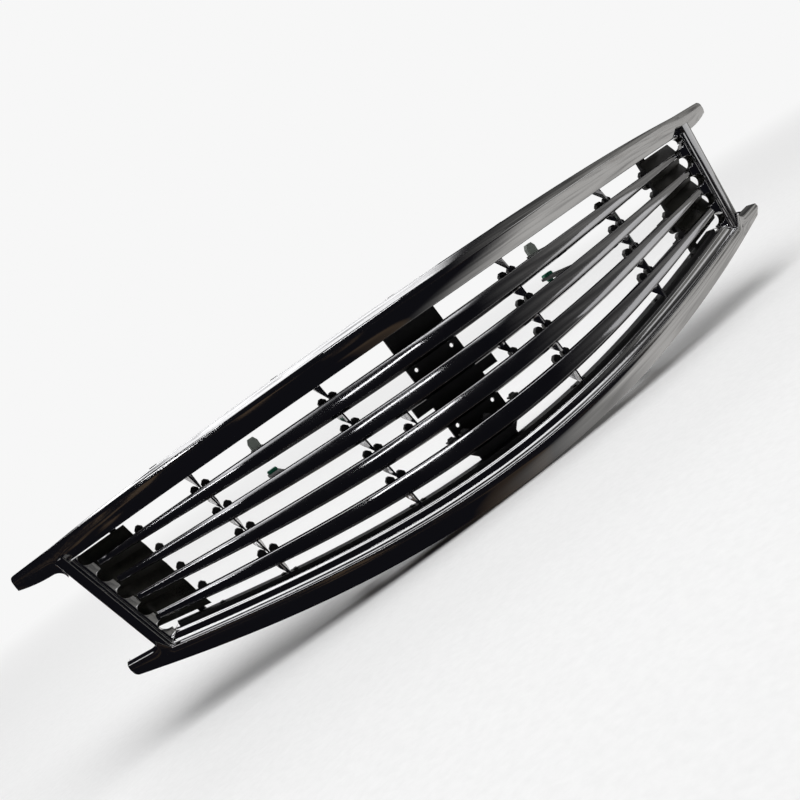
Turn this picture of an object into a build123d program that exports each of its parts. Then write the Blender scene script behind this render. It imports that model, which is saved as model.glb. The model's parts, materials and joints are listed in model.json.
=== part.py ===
# Front grille: a chromed surround with four horns, four bowed slats, end bezels and a rear carrier.
# Millimetres. +X is to the viewer's right, the grille faces -Y and +Z is up.
from build123d import *
import os

# Overall form
half_opening = 368.5          # half width of the opening, at height zero of the layout
curve_overrun = 31.5          # the curves are set out this far past the opening
fan_rate = 0.00077            # upright lines spread by this share for each millimetre of height
upper_end_depth = 46.0        # how far back the slat plane stands at the ends of the upper lip
lower_end_depth = 7.0         # the same at the ends of the lower lip
upper_bow = 72.0              # how far the middle stands forward of the ends along the upper lip
lower_bow = 60.0              # the same along the lower lip
upper_lip = (80.3, 4.5, 4.2)  # height at the ends, rise to the middle, extra at the shoulders
lower_lip = (-14.0, -53.9, 16.7)

# Surround
skin_wall = 3.0
lip_forward = 12.0            # the upper lip stands this far in front of the slat plane
upper_face_height = 19.5
upper_face_forward = 2.0
upper_crown_forward = 6.0
bevel_end = 1.5
bevel_crown = 10.0
bevel_set_back = 8.0
upper_return_depth = 44.0
lip_return_depth = 17.0
lower_face_end = 13.0
lower_face_crown = 9.5
cove_height = 12.0
cove_depth = 11.0
lower_base_set_back = 4.0
lower_return_depth = 36.0
return_fall = 5.0
side_bar_width = 9.0
side_bar_depth = 22.0
upper_bulges = ((1, 0.6), (2, 0.8))   # fullness of the bevel and of the main face
lower_bulges = ((1, 1.8),)
upper_horn_reach = 44.5
upper_horn_fillet = 10.0      # radius where a horn runs into its side bar
upper_horn_sag = 1.8          # the underside hangs this much below the lip beside the fillet
upper_horn_climb = 8.0        # rise of the underside at the tip
upper_tip_round = 3.0
lower_horn_reach = 32.5
lower_horn_fillet = 8.0
lower_horn_flat = 3.5
lower_tip_round = 4.0

# Slats
slat_count = 4
first_slat_share = 0.176      # share of the way from the upper lip to the lower lip
slat_pitch_share = 0.2175
slat_end_height = 3.5
slat_crown_height = 16.0
slat_nose_ratio = 0.45
slat_bevel_ratio = 0.22
slat_wall = 2.4
slat_return = 9.0
slat_face_bulge = 0.4
slat_tip_gap = 1.8            # clearance between a slat tip and its bezel

# Gussets under the slats
inner_gusset = 106.3
outer_gusset = 243.0
centre_gusset = 59.5          # an extra pair, under one slat only
centre_gusset_slat = 1
gusset_depth = 17.0
gusset_front_width = 1.6
gusset_rear_width = 8.0
gusset_rear_height = 3.0
gusset_seat_gap = 0.4

# Upper rail and cove trim
rail_depth = 10.0
rail_height = 4.0
trim_gap = 0.5
cove_wall = 2.4
cove_tail = 8.0

# End bezels and panels
bezel_width = 13.0
bezel_depth = 15.0
bezel_foot_gap = 2.0
mitre_slope = 0.8             # rise of the mitre line for each millimetre towards the middle
mitre_gap = 0.5
mitre_set_in = 2.0
scoop_depth = 8.0
scoop_ratio = 0.42            # radius of a scoop, as a share of the height of its gap
panel_inner = 315.0
panel_wall = 2.5
panel_side_gap = 1.5
panel_top_share = 0.03
panel_foot_share = 0.955
panel_valley = 0.45          # where the panel steps back, as a share of the slat pitch
panel_step = 9.0
panel_near = 10.5            # the panel clears the rear of the slats by this depth

# Rear carrier
rib_depth = 13.0
rib_height_ratio = 0.55
rib_stand_off = 1.6
beam_depth = 15.0
beam_gap = 1.6
beam_wall = 3.0
lower_shelf_rise = 3.0
post_width = 6.0
post_place = 326.0            # the end posts, at height zero of the layout
post_depth = 11.0
post_gap = 2.0              # clearance between a post and the end panel in front of it
rib_tail_start = 300.0
rib_tail_step = 5.9         # the rib steps back this far to pass behind the end panel
rib_tail_extra = 4.0
tower_width = 8.5
tower_rise = 4.5
tower_root = 7.0
tower_spacing = 6.0
panel_tower_gap = 7.0       # from the inner edge of the end panel to its own tower
tower_depth = 7.0
tower_gap = 2.2
tower_chamfer = 3.0

# Mounting
tab_thickness = 4.0
tab_width = 26.0
tab_length = 26.0
tab_inner = 120.0
tab_outer = 300.0
lower_tab = 180.0
tab_hole_radius = 5.0
sleeve_bore_radius = 3.3
sleeve_fit = 0.05
screw_radius = 2.0
screw_head_radius = 4.2
screw_head_height = 2.4
screw_length = 12.0
screw_fit = 0.15
upper_screws = (-280.0, -140.0, 0.0, 140.0, 280.0)
lower_screws = (-240.0, -120.0, 0.0, 120.0, 240.0)
screw_lift = 1.2

# Centre bracket and small fittings
bracket_half = 31.0
bracket_arm = 50.0
bracket_step = 8.0
bracket_wall = 3.5
bracket_gap = 1.6
badge_hole_half = 22.0
badge_hole_radius = 2.2
badge_clip_places = (-41.0, -26.0, 0.0, 35.0)
clip_width = 10.0
push_clip_place = 186.0
push_clip_line = 76.0         # the push clips stand this far behind the middle of the opening's ends
push_clip_width = 11.0
push_clip_depth = 8.0
push_clip_heights = (12.0, 3.5)
push_stem = 4.0
push_fit = 0.2
arm_width = 13.0
arm_wall = 3.0
seal_depth = 5.0
seal_height = 4.0
seal_clear = 0.1
seal_lift = 0.5
seal_reach = 290.0
buffer_radius = 6.0
buffer_length = 8.0
trim_spring_places = (-260.0, -130.0, -45.0, 45.0, 130.0, 260.0)

curve_half = half_opening + curve_overrun


def mix(a, b, share):
    return a + (b - a) * share


def crown(x):
    return max(0.0, 1.0 - (x / curve_half) ** 2)


def across(x, end, rise, shoulder):
    t2 = (x / curve_half) ** 2
    return end + rise * (1 - t2) + shoulder * t2 * (1 - t2)


def plane_point(x, share):
    # A point of the raked, bowed slat plane: share 0 is the upper lip and share 1 the lower lip
    z = mix(across(x, *upper_lip), across(x, *lower_lip), share)
    bow = mix(upper_bow, lower_bow, share)
    y = mix(upper_end_depth, lower_end_depth, share) - bow * (1 - (x / curve_half) ** 2)
    return y, z


def fan(x_zero, z):
    return x_zero * (1 + fan_rate * z)


def outline(place, points, bulges=()):
    # A closed wire of straight runs, with an arc of the given bulge where bulges names the run
    corners = [Vector(*place(*p)) for p in points]
    bulge_of = dict(bulges)
    edges = []
    for i, start in enumerate(corners):
        end = corners[(i + 1) % len(corners)]
        if i in bulge_of:
            (ya, za), (yb, zb) = points[i], points[(i + 1) % len(points)]
            length = ((yb - ya) ** 2 + (zb - za) ** 2) ** 0.5
            ny, nz = (zb - za) / length, -(yb - ya) / length
            middle = place((ya + yb) / 2 + ny * bulge_of[i], (za + zb) / 2 + nz * bulge_of[i])
            edges.append(Edge.make_three_point_arc(start, Vector(*middle), end))
        else:
            edges.append(Edge.make_line(start, end))
    return Wire(edges)


def sweep_across(stations, section, bulges=(), ruled=False):
    wires = []
    for x in stations:
        wires.append(outline(lambda y, z: (x, y, z), section(x), bulges))
    return Solid.make_loft(wires, ruled)


def spread(start, end, count):
    return [mix(start, end, i / (count - 1)) for i in range(count)]


def ring_loft(*rings):
    # A straight-sided solid through closed rings of corner points
    wires = [Wire.make_polygon([Vector(*p) for p in ring], close=True) for ring in rings]
    return Solid.make_loft(wires, True)


def write(name, shape):
    export_step(shape, os.path.join("parts", name + ".step"))


# Lines of the surround

def lip_point(x):
    y, z = plane_point(x, 0.0)
    return y - lip_forward, z


def crease_point(x):
    y, z = lip_point(x)
    return y - upper_face_forward - upper_crown_forward * crown(x), z + upper_face_height


def top_point(x):
    y, z = crease_point(x)
    return y + bevel_set_back, z + bevel_end + bevel_crown * crown(x)


def ledge_point(x):
    return plane_point(x, 1.0)


def brow_point(x):
    y, z = ledge_point(x)
    return y - cove_depth, z - cove_height


def base_point(x):
    y, z = brow_point(x)
    fullness = max(0.0, 1 - (x / curve_half) ** 4)
    return y + lower_base_set_back, z - lower_face_end - lower_face_crown * fullness


def upper_section(x, low=None, drop=0.0):
    (ly, lz), (cy, cz), (ty, tz) = lip_point(x), crease_point(x), top_point(x)
    w = skin_wall
    ty, tz, cz = ty + drop, tz - drop, cz - drop
    if low is not None:
        lz = low
    return [(ty + upper_return_depth, tz - return_fall), (ty, tz), (cy, cz), (ly, lz),
            (ly + lip_return_depth, lz + 0.5), (ly + lip_return_depth, lz + 0.5 + w),
            (ly + w, lz + w), (cy + w + 0.5, cz - w), (ty + 0.5, tz - w),
            (ty + upper_return_depth, tz - return_fall - w)]


def lower_section(x, high=None, lift=0.0):
    (by, bz), (sy, sz) = brow_point(x), base_point(x)
    w = skin_wall
    sz = sz + lift
    if high is not None:
        bz = high
    return [(by + lip_return_depth, bz + 1), (by, bz), (sy, sz),
            (sy + lower_return_depth, sz + return_fall), (sy + lower_return_depth, sz + return_fall + w),
            (sy + w, sz + w + 0.3), (by + w, bz - w), (by + lip_return_depth, bz + 1 - w)]


def side_front(z):
    # Front of the side bars: a straight line from the upper lip to the brow of the lower bar
    x = half_opening
    (y_low, z_low), (y_high, z_high) = brow_point(x), lip_point(x)
    return mix(y_low, y_high, (z - z_low) / (z_high - z_low))


def side_ring(side, z, outline_xy, slope=0.0):
    # A ring across an upright piece; slope tilts it down towards the middle of the grille
    ring = []
    for x, y in outline_xy:
        height = z - slope * (half_opening - x)
        ring.append((side * fan(x, z), side_front(z) + y, height))
    return ring


def side_bar(side):
    inner, outer = half_opening, half_opening + side_bar_width
    shape = [(inner, 0.0), (outer - 1.5, 0.0), (outer, 1.5), (outer, side_bar_depth),
             (outer - skin_wall, side_bar_depth), (outer - skin_wall, skin_wall + 0.5),
             (inner + skin_wall, skin_wall + 0.5), (inner + skin_wall, side_bar_depth),
             (inner, side_bar_depth)]
    top = lip_point(half_opening)[1] + 6.0
    bottom = brow_point(half_opening)[1] - 5.0
    return ring_loft(side_ring(side, bottom, shape), side_ring(side, top, shape))


def upper_bar_end():
    return fan(half_opening, lip_point(half_opening)[1])


def lower_bar_end():
    return fan(half_opening, brow_point(half_opening)[1])


def fillet_rise(distance, radius):
    # Height of a quarter-round above its foot, at a distance from the wall that it climbs
    inside = max(0.0, radius - distance)
    return radius - (radius ** 2 - inside ** 2) ** 0.5


def horn_steps(reach, fillet, tip_round):
    # Distances from the side bar, closer together in the fillet and at the rounded tip
    near = [fillet * share for share in (0.0, 0.1, 0.3, 0.6, 1.0)]
    far = [reach - tip_round * share for share in (1.0, 0.7, 0.3, 0.1, 0.0)]
    return near + [mix(near[-1], far[0], 0.5)] + far


def upper_horn(side):
    start = upper_bar_end()
    notch = fan(half_opening + side_bar_width, lip_point(half_opening)[1])
    reach, fillet, tip = upper_horn_reach, upper_horn_fillet, upper_tip_round
    wires = [outline(lambda y, z: (side * start, y, z), upper_section(start), upper_bulges)]
    for distance in horn_steps(reach, fillet, tip):
        x = notch + distance
        rise = upper_horn_climb * (distance / reach) ** 2 - upper_horn_sag
        low = lip_point(x)[1] + rise - fillet_rise(distance, fillet)
        section = upper_section(x, low, fillet_rise(reach - distance, tip))
        wires.append(outline(lambda y, z: (side * x, y, z), section, upper_bulges))
    return Solid.make_loft(wires, True)


def lower_horn(side):
    start = lower_bar_end()
    notch = fan(half_opening + side_bar_width, brow_point(half_opening)[1])
    reach, fillet, tip = lower_horn_reach, lower_horn_fillet, lower_tip_round
    wires = [outline(lambda y, z: (side * start, y, z), lower_section(start), lower_bulges)]
    for distance in horn_steps(reach, fillet, tip):
        x = notch + distance
        rise = lower_horn_flat * (1 - distance / reach) + fillet_rise(distance, fillet)
        section = lower_section(x, brow_point(x)[1] + rise, fillet_rise(reach - distance, tip))
        wires.append(outline(lambda y, z: (side * x, y, z), section, lower_bulges))
    return Solid.make_loft(wires, True)


def surround():
    upper_end, lower_end = upper_bar_end(), lower_bar_end()
    upper = sweep_across(spread(-upper_end, upper_end, 11), upper_section, upper_bulges)
    lower = sweep_across(spread(-lower_end, lower_end, 11), lower_section, lower_bulges)
    for side in (-1, 1):
        upper = upper.fuse(upper_horn(side))
        lower = lower.fuse(lower_horn(side))
    ring = upper.fuse(side_bar(-1)).fuse(side_bar(1))
    return ring.fuse(lower)


# Slats and gussets

def slat_share(index):
    return first_slat_share + slat_pitch_share * index


def slat_height(x):
    return slat_end_height + slat_crown_height * crown(x)


def slat_top(x, index):
    y, z = plane_point(x, slat_share(index))
    return y, z + slat_height(x) / 2


def slat_bottom(x, index):
    y, z = plane_point(x, slat_share(index))
    return y, z - slat_height(x) / 2


def slat_section(index):
    def section(x):
        h = slat_height(x)
        (ay, az), (dy, dz) = slat_top(x, index), slat_bottom(x, index)
        cy, cz = dy - slat_nose_ratio * h, dz + slat_bevel_ratio * h
        w = slat_wall
        return [(ay, az), (cy, cz), (dy, dz), (dy + w, dz + 0.3), (cy + 1.5 * w, cz + 0.2 * w),
                (ay + 1.2 * w, az - w), (ay + slat_return, az - w), (ay + slat_return, az)]
    return section


def tip_x(z):
    # Where a slat ends, just clear of its bezel
    return fan(half_opening - bezel_width - slat_tip_gap, z)


def gusset(x_zero, top, bottom, depth=gusset_depth):
    # A wedge under a slat: thin in front, thick behind, its foot cut away towards the rear
    (ty, tz), (by, bz) = top, bottom
    xt, xb = fan(x_zero, tz), fan(x_zero, bz)
    f, r = gusset_front_width / 2, gusset_rear_width / 2
    front = [(xt - f, ty, tz), (xt + f, ty, tz), (xb + f, by, bz), (xb - f, by, bz)]
    rear_y, foot = ty + depth, tz - gusset_rear_height
    rear = [(xt - r, rear_y, tz), (xt + r, rear_y, tz), (xt + r, rear_y, foot), (xt - r, rear_y, foot)]
    return ring_loft(front, rear)


def gusset_places():
    return [-outer_gusset, -inner_gusset, inner_gusset, outer_gusset]


def slat_gussets(index):
    places = gusset_places()
    if index == centre_gusset_slat:
        places += [-centre_gusset, centre_gusset]
    return places


def gap_floor(x, gap):
    # Top of what lies under a gap: the next slat, or the ledge of the cove trim
    if gap < slat_count:
        return slat_top(x, gap)
    return ledge_point(x)


def slat(index):
    reach = tip_x(plane_point(half_opening, slat_share(index))[1])
    blade = sweep_across(spread(-reach, reach, 11), slat_section(index), ((0, slat_face_bulge),))
    for x_zero in slat_gussets(index):
        x = fan(x_zero, slat_bottom(x_zero, index)[1])
        ty, tz = slat_bottom(x, index)
        by, bz = gap_floor(x, index + 1)
        blade = blade.fuse(gusset(x_zero, (ty + 0.6, tz + 1.2), (by + 1.0, bz + gusset_seat_gap)))
    return blade


# Upper rail and cove trim

def rail_section(x):
    y, z = lip_point(x)
    front, low = y + lip_return_depth + trim_gap, z + 0.5
    return [(front, low), (front, low + rail_height), (front + rail_depth, low + rail_height),
            (front + rail_depth, low)]


def upper_rail():
    reach = fan(half_opening - bezel_width, lip_point(half_opening)[1]) - 1.0
    rail = sweep_across(spread(-reach, reach, 11), rail_section)
    for x_zero in gusset_places():
        x = fan(x_zero, lip_point(x_zero)[1])
        y, z = lip_point(x)
        by, bz = gap_floor(x, 0)
        top = (y + lip_return_depth + 2 * trim_gap, z + 1.5)
        foot = (by + 1.0, bz + gusset_seat_gap)
        rail = rail.fuse(gusset(x_zero, top, foot, rail_depth))
    return rail


def cove_section(x):
    (ly, lz), (by, bz) = ledge_point(x), brow_point(x)
    w = cove_wall
    return [(ly + cove_tail, lz), (ly, lz), (ly - 1.6, lz - 2.0), (by + 0.6, bz + 0.5),
            (by + 4.0, bz + 0.8), (ly + 1.2, lz - w - 1.2), (ly + cove_tail, lz - w)]


def mitre_wedge(side, above, lift):
    # The space on one side of the sloping joint between the cove trim and an end bezel
    edge = lower_bar_end()
    x, z = edge - mitre_set_in, brow_point(edge)[1] + lift
    low, high = (x + 20.0 / mitre_slope, z - 20.0), (x - 30.0 / mitre_slope, z + 30.0)
    if above:
        profile = [low, high, (x + 40.0, high[1]), (x + 40.0, low[1])]
    else:
        profile = [low, high, (x - 60.0, high[1]), (x - 60.0, low[1])]
    return ring_loft(*[[(side * px, y, pz) for px, pz in profile] for y in (-80.0, 80.0)])


def cove_trim():
    reach = lower_bar_end() - trim_gap
    trim = sweep_across(spread(-reach, reach, 11), cove_section, ((2, -2.2), (4, 1.6)))
    for side in (-1, 1):
        trim = trim.cut(mitre_wedge(side, True, bezel_foot_gap - mitre_gap))
    return trim


# End bezels and end panels

def end_bezel(side):
    outer, inner = half_opening - trim_gap, half_opening - bezel_width
    shape = [(outer, 0.6), (outer - 2.2, 0.6), (outer - 3.2, 2.8), (outer - 5.0, 1.8), (inner, 6.0),
             (inner, bezel_depth), (outer, bezel_depth)]
    top = lip_point(upper_bar_end())[1] - trim_gap
    bottom = brow_point(lower_bar_end())[1] + bezel_foot_gap - mitre_gap
    body = ring_loft(side_ring(side, bottom, shape), side_ring(side, top, shape))
    for gap in range(slat_count + 1):
        body = body.cut(scoop(side, gap))
    return body.cut(mitre_wedge(side, False, bezel_foot_gap))


def scoop(side, gap):
    # A round-ended recess between two slat tips, open towards the middle and to the front
    inner = half_opening - bezel_width
    z, height = gap_middle(inner, gap), gap_height(inner, gap)
    radius = scoop_ratio * height
    centre, mouth = fan(inner, z) + scoop_depth - radius, fan(inner, z) - 4.0
    front, depth = side_front(z) - 10.0, bezel_depth + 20.0
    end = Solid.make_cylinder(radius, depth, Plane(origin=(side * centre, front, z), z_dir=(0, 1, 0)))
    left = mouth if side > 0 else -centre
    slot = Solid.make_box(centre - mouth, depth, 2 * radius).moved(Location((left, front, z - radius)))
    return end.fuse(slot)


def panel_ring(x_zero):
    # A leaning section whose front steps forward behind each slat and back between them
    front = []
    shares = [panel_top_share]
    depths = [panel_near + panel_step]
    for index in range(slat_count):
        shares += [slat_share(index), slat_share(index) + slat_pitch_share * panel_valley]
        depths += [panel_near, panel_near + panel_step]
    shares[-1] = panel_foot_share
    for share, depth in zip(shares, depths):
        z = plane_point(x_zero, share)[1]
        x = fan(x_zero, z)
        front.append((x, plane_point(x, share)[0] + depth, plane_point(x_zero, share)[1]))
    return front + [(x, y + panel_wall, z) for x, y, z in reversed(front)]


def end_panel(side):
    outer = half_opening - panel_side_gap
    rings = [panel_ring(x) for x in (panel_inner, (panel_inner + outer) / 2, outer)]
    return ring_loft(*[[(side * x, y, z) for x, y, z in ring] for ring in rings])


# Rear carrier

def rib_section(index):
    def section(x):
        y, z = plane_point(x, slat_share(index))
        front, half = y + slat_return + rib_stand_off, slat_height(x) * rib_height_ratio / 2
        return [(front, z + half), (front, z - half), (front + rib_depth, z - half),
                (front + rib_depth, z + half)]
    return section


def beam_outline(front, back, low, high):
    w = beam_wall
    return [(front, low), (back, low), (back, low + w), (front + w, low + w), (front + w, high - w),
            (back, high - w), (back, high), (front, high)]


def upper_beam_box(x):
    y, z = lip_point(x)
    front = y + lip_return_depth + 2 * trim_gap + rail_depth + 1.0
    high = top_point(x)[1] - return_fall - skin_wall - beam_gap
    return front, front + beam_depth, z + 0.5, high


def lower_beam_box(x):
    y, z = brow_point(x)
    front = y + cove_depth + cove_tail + beam_gap
    low = base_point(x)[1] + return_fall + skin_wall + beam_gap
    return front, front + beam_depth, low, ledge_point(x)[1] + lower_shelf_rise


def beam(box_at, reach):
    return sweep_across(spread(-reach, reach, 11), lambda x: beam_outline(*box_at(x)))


def rib_tail(index):
    def section(x):
        points = rib_section(index)(x)
        (front, high), (_, low) = points[0], points[1]
        start, back = front + rib_tail_step, front + rib_depth + rib_tail_extra
        return [(start, high), (start, low), (back, low), (back, high)]
    return section


def post_front(x_zero, z):
    lz, uz = ledge_point(x_zero)[1], lip_point(x_zero)[1]
    low, high = plane_point(fan(x_zero, lz), 1.0)[0], plane_point(fan(x_zero, uz), 0.0)[0]
    return mix(low, high, (z - lz) / (uz - lz)) + panel_near + panel_step + panel_wall + post_gap


def end_post(side, neighbours):
    # An upright behind the end panel, notched over the ribs and the beams
    rings = []
    for z in (ledge_point(post_place)[1] - 8.0, lip_point(post_place)[1] + 6.0):
        x, front = side * fan(post_place, z), post_front(post_place, z)
        left, right, rear = x - post_width / 2, x + post_width / 2, front + post_depth
        rings.append([(left, front, z), (right, front, z), (right, rear, z), (left, rear, z)])
    return cut_all(ring_loft(*rings), neighbours)


def tower(x, gap, foot_y, foot_z):
    # A clip tower that stands just above the top edge of the slat under the gap
    half, c = tower_width / 2, tower_chamfer
    low, high = foot_z - tower_root, foot_z + tower_rise
    front = foot_y + slat_return + rib_stand_off + tower_gap
    shape = [(-half, low), (half, low), (half, high - c), (half - c, high), (c - half, high),
             (-half, high - c)]
    rings = [[(x + px, front + depth, pz) for px, pz in shape] for depth in (0.0, tower_depth)]
    return ring_loft(*rings)


def add_towers(body, gap):
    places = []
    for x_zero in gusset_places():
        middle = fan(x_zero, gap_floor(x_zero, gap)[1])
        places += [middle - tower_spacing, middle + tower_spacing]
    if gap == centre_gusset_slat + 1:
        places += [-centre_gusset - tower_spacing, centre_gusset + tower_spacing]
    edge = fan(panel_inner, gap_floor(panel_inner, gap)[1]) - panel_tower_gap
    for x in places + [-edge, edge]:
        body = body.fuse(tower(x, gap, *gap_floor(x, gap)))
    return body


def slat_rib(index):
    reach = fan(panel_inner, plane_point(panel_inner, slat_share(index))[1]) - 1.0
    tail_end = fan(post_place, plane_point(post_place, slat_share(index))[1])
    body = sweep_across(spread(-reach, reach, 9), rib_section(index))
    for side in (-1, 1):
        tail = sweep_across(spread(side * rib_tail_start, side * tail_end, 3), rib_tail(index))
        body = body.fuse(tail)
        if index < len(push_clip_heights):
            body = body.fuse(clip_arm(side, index)).cut(clip_slot(side, index))
    return add_towers(body, index)


def upper_beam():
    body = beam(upper_beam_box, fan(half_opening - bezel_width, lip_point(half_opening)[1]) - 3.0)
    return add_tabs(body, True)


def lower_beam():
    body = beam(lower_beam_box, fan(half_opening - bezel_width, brow_point(half_opening)[1]) - 3.0)
    return add_towers(add_tabs(body, False), slat_count)


def add_tabs(body, wanted):
    for x, box, upper in tab_places():
        if upper == wanted:
            plate, hole = tab(x, box, upper)
            body = body.fuse(plate).cut(hole)
    return cut_all(body, screw_holes())


def tab_hole(box, x):
    front, back, low, high = box(x)
    return back + tab_length - tab_width / 2


def tab_floor(x, box, upper):
    # Underside of a tab; a lower tab clears the surround at its outer corner
    if upper:
        return box(x)[3] - tab_thickness
    return box(abs(x) + tab_width / 2)[2]


def tab(x, box, upper):
    front, back, low, high = box(x)
    floor = tab_floor(x, box, upper)
    start = back - beam_wall
    plate = Solid.make_box(tab_width, back + tab_length - start, tab_thickness)
    plate = plate.moved(Location((x - tab_width / 2, start, floor)))
    hole = upright(tab_hole_radius, 3 * tab_thickness, x, tab_hole(box, x), floor - tab_thickness)
    return plate, hole


def upright(radius, height, x, y, z):
    return Solid.make_cylinder(radius, height, Plane(origin=(x, y, z)))


def tab_places():
    places = [(side * x, upper_beam_box, True) for x in (tab_inner, tab_outer) for side in (-1, 1)]
    return places + [(side * lower_tab, lower_beam_box, False) for side in (-1, 1)]


def screw_seats():
    # Centre of each screw and the surface under its head, with the way its head points
    seats = []
    for x in upper_screws:
        y = upper_beam_box(x)[0] + beam_depth / 2
        ty, tz = top_point(x)
        seats.append((x, y, tz - return_fall * (y - ty) / upper_return_depth, 1))
    for x in lower_screws:
        y = lower_beam_box(x)[0] + beam_depth / 2
        sy, sz = base_point(x)
        seats.append((x, y, sz + return_fall * (y - sy) / lower_return_depth, -1))
    return seats


def screw_holes():
    reach = screw_length + screw_head_height
    return [upright(screw_radius + screw_fit, 2 * reach, x, y, z - reach) for x, y, z, way in screw_seats()]


def screw(x, y, z, way):
    head_low = z + screw_lift if way > 0 else z - screw_lift - screw_head_height
    head = upright(screw_head_radius, screw_head_height, x, y, head_low)
    shank_low = z + screw_lift - screw_length if way > 0 else z - screw_lift
    shank = upright(screw_radius, screw_length, x, y, shank_low)
    recess_low = head_low + screw_head_height / 2 if way > 0 else head_low - 0.1
    recess = upright(screw_radius * 0.8, screw_head_height / 2 + 0.1, x, y, recess_low)
    return head.fuse(shank).cut(recess)


def cut_all(body, tools):
    for tool in tools:
        body = body.cut(tool)
    return body


# Centre bracket

def bracket_front(z):
    (uy, uz), (ly, lz) = plane_point(0.0, 0.0), plane_point(0.0, 1.0)
    return mix(ly, uy, (z - lz) / (uz - lz)) + slat_return + rib_stand_off + rib_depth + bracket_gap


def gap_ceiling(x, gap):
    if gap == 0:
        return lip_point(x)[1]
    return slat_bottom(x, gap - 1)[1]


def gap_middle(x, gap):
    return (gap_ceiling(x, gap) + gap_floor(x, gap)[1]) / 2


def gap_height(x, gap):
    return gap_ceiling(x, gap) - gap_floor(x, gap)[1]


def badge_bracket():
    top, bottom = lip_point(0.0)[1] - trim_gap, ledge_point(0.0)[1] - 2.0
    half, arm, step = bracket_half, bracket_arm, bracket_step
    high_arm, low_arm = slat_top(0.0, 2)[1] + 12.0, slat_top(0.0, 2)[1] + 1.0
    right = [(half, top), (half, high_arm), (arm, high_arm), (arm, low_arm), (half, low_arm),
             (half, bottom + 2 * step), (half - step, bottom + step), (half - step, bottom)]
    shape = right + [(-x, z) for x, z in reversed(right)]
    rings = [[(x, bracket_front(z) + depth, z) for x, z in shape] for depth in (0.0, bracket_wall)]
    plate = ring_loft(*rings)
    for x, z in badge_holes():
        base = Plane(origin=(x, bracket_front(z) - bracket_wall, z), z_dir=(0, 1, 0))
        plate = plate.cut(Solid.make_cylinder(badge_hole_radius, 4 * bracket_wall, base))
    return plate


def badge_holes():
    return [(side * badge_hole_half, gap_middle(0.0, gap)) for gap in (1, 3) for side in (-1, 1)]


def badge_clip(x):
    # A snap tongue over the rear edge of the lowest slat
    y, z = slat_top(x, slat_count - 1)
    front = y + slat_return - 4.0
    tongue = Solid.make_box(clip_width, 9.0, 1.6).moved(Location((x - clip_width / 2, front, z + 0.2)))
    bump = ring_loft([(x - 3.0, front, z + 1.8), (x + 3.0, front, z + 1.8), (x + 3.0, front + 8.0, z + 1.8),
                      (x - 3.0, front + 8.0, z + 1.8)],
                     [(x - 2.0, front + 2.0, z + 4.2), (x + 2.0, front + 2.0, z + 4.2),
                      (x + 2.0, front + 6.0, z + 4.2), (x - 2.0, front + 6.0, z + 4.2)])
    return tongue.fuse(bump)


# Small fittings

def clip_seat(index):
    # Middle of a push clip's foot on its arm, on the right-hand side
    z = plane_point(push_clip_place, slat_share(index))[1]
    return push_clip_place, push_clip_line, z + slat_height(push_clip_place) * rib_height_ratio / 2 - 0.6


def block(x, y, z, width, depth, height):
    # A box centred on x and y that stands on z
    return Solid.make_box(width, depth, height).moved(Location((x - width / 2, y - depth / 2, z)))


def clip_arm(side, index):
    x, y, z = clip_seat(index)
    start = plane_point(x, slat_share(index))[0] + slat_return + rib_stand_off + rib_depth / 2
    length = y + arm_width / 2 - start
    return block(side * x, start + length / 2, z - arm_wall, arm_width, length, arm_wall)


def clip_slot(side, index):
    x, y, z = clip_seat(index)
    width = push_stem + 2 * push_fit
    return block(side * x, y, z - 2 * arm_wall, width, width, 3 * arm_wall)


def push_clip(side, index):
    # A body on top of the arm, a stem through it and a barbed foot under it
    x, y, z = clip_seat(index)
    x, height = side * x, push_clip_heights[index]
    half, narrow = push_clip_width / 2, push_clip_width / 2 - height / 5
    shape = [(-half, 0.1), (half, 0.1), (half, 0.6 * height), (narrow, height), (-narrow, height),
             (-half, 0.6 * height)]
    ends = (-push_clip_depth / 2, push_clip_depth / 2)
    rings = [[(x + px, y + py, z + pz) for px, pz in shape] for py in ends]
    stem = block(x, y, z - arm_wall - 1.5, push_stem, push_stem, arm_wall + 2.0)
    barb_top, foot = z - arm_wall - 0.3, z - arm_wall - 6.0
    barb = [[(x + sx * w, y + sy * 1.8, level) for sx, sy in ((-1, -1), (1, -1), (1, 1), (-1, 1))]
            for w, level in ((4.0, barb_top), (1.5, foot))]
    return ring_loft(*rings).fuse(stem).fuse(ring_loft(*barb))


def sleeves():
    rings = []
    for x, box, upper in tab_places():
        floor, hole = tab_floor(x, box, upper), tab_hole(box, x)
        tube = upright(tab_hole_radius - sleeve_fit, tab_thickness, x, hole, floor)
        bore = upright(sleeve_bore_radius, 3 * tab_thickness, x, hole, floor - tab_thickness)
        rings.append(tube.cut(bore))
    return rings


def seal_section(x):
    front, back, low, high = upper_beam_box(x)
    near, far, foot = back + seal_clear, back + seal_depth, low + seal_lift
    return [(near, foot), (far, foot), (far, foot + seal_height), (near, foot + seal_height)]


def buffer(side, share):
    z = plane_point(post_place, share)[1]
    x = side * fan(post_place, z)
    rear = post_front(post_place, z + buffer_radius) + post_depth
    return Solid.make_cylinder(buffer_radius, buffer_length, Plane(origin=(x, rear, z), z_dir=(0, 1, 0)))


def trim_spring(x):
    y, z = ledge_point(x)
    low = z - cove_wall - 2.6
    return Solid.make_box(9.0, 4.0, 0.8).moved(Location((x - 4.5, y + 3.5, low)))


def datum():
    # The origin: midway between the inner tab holes, on their upper face
    return tab_hole(upper_beam_box, tab_inner), upper_beam_box(tab_inner)[3]


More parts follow.
